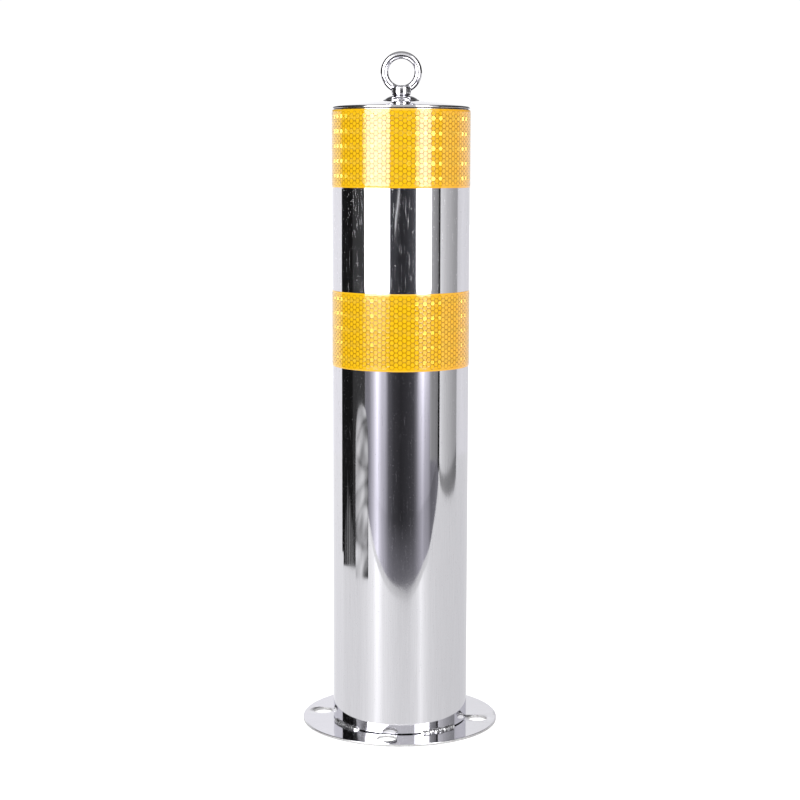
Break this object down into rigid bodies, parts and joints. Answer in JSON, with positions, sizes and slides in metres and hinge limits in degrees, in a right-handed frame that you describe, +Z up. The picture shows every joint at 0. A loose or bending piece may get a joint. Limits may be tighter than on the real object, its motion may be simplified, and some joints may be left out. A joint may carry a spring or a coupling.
{
  "type": "surface-mounted bollard",
  "caption": "Polished stainless post on a bolt-down base flange, with yellow reflective bands, a domed cap and a screwed lifting eye on top.",
  "frame": {"origin": "centre of the base flange's underside, on the ground", "axes": "+Z up along the post, -Y is the front, the side the eye ring faces, +X to the right seen from the front"},
  "size_m": [0.16, 0.16, 0.5455],
  "materials": {
    "flange_steel": "polished",
    "weld_steel": "rippled weld metal",
    "tube_steel": "mirror polished, fine lengthwise lines",
    "reflective_film": "honeycomb prismatic film",
    "cap_steel": "polished",
    "inner_steel": "mill",
    "fastener_steel": "machined",
    "eye_steel": "bright polished",
    "seal_rubber": "matt"
  },
  "bodies": {
    "post": {"base_flange": "flange_steel", "base_weld_beads": "weld_steel", "post_tube": "tube_steel", "upper_reflective_band": "reflective_film", "lower_reflective_band": "reflective_film", "top_cap": "cap_steel", "cap_spigot_ring": "inner_steel", "cap_ring_welds": "weld_steel", "cap_doubler_plate": "inner_steel", "doubler_tack_welds": "weld_steel", "hex_nut": "fastener_steel", "nut_tack_welds": "weld_steel"},
    "rosette": {"eye_rosette": "eye_steel", "rosette_seal": "seal_rubber"},
    "eye": {"eye_bolt": "eye_steel"}
  },
  "joints": [
    {"name": "eye_lift", "type": "slide", "parent": "post", "child": "rosette", "axis": [0, 0, 1], "range_m": [0, 0.0088]},
    {"name": "eye_turn", "type": "hinge", "parent": "rosette", "child": "eye", "pos_m": [0, 0, 0.5102], "axis": [0, 0, 1], "range_deg": [0, 2520]}
  ],
  "couplings": [
    {"joint": "eye_lift", "follows": "eye_turn", "m_per_rad": 0.00019894}
  ]
}
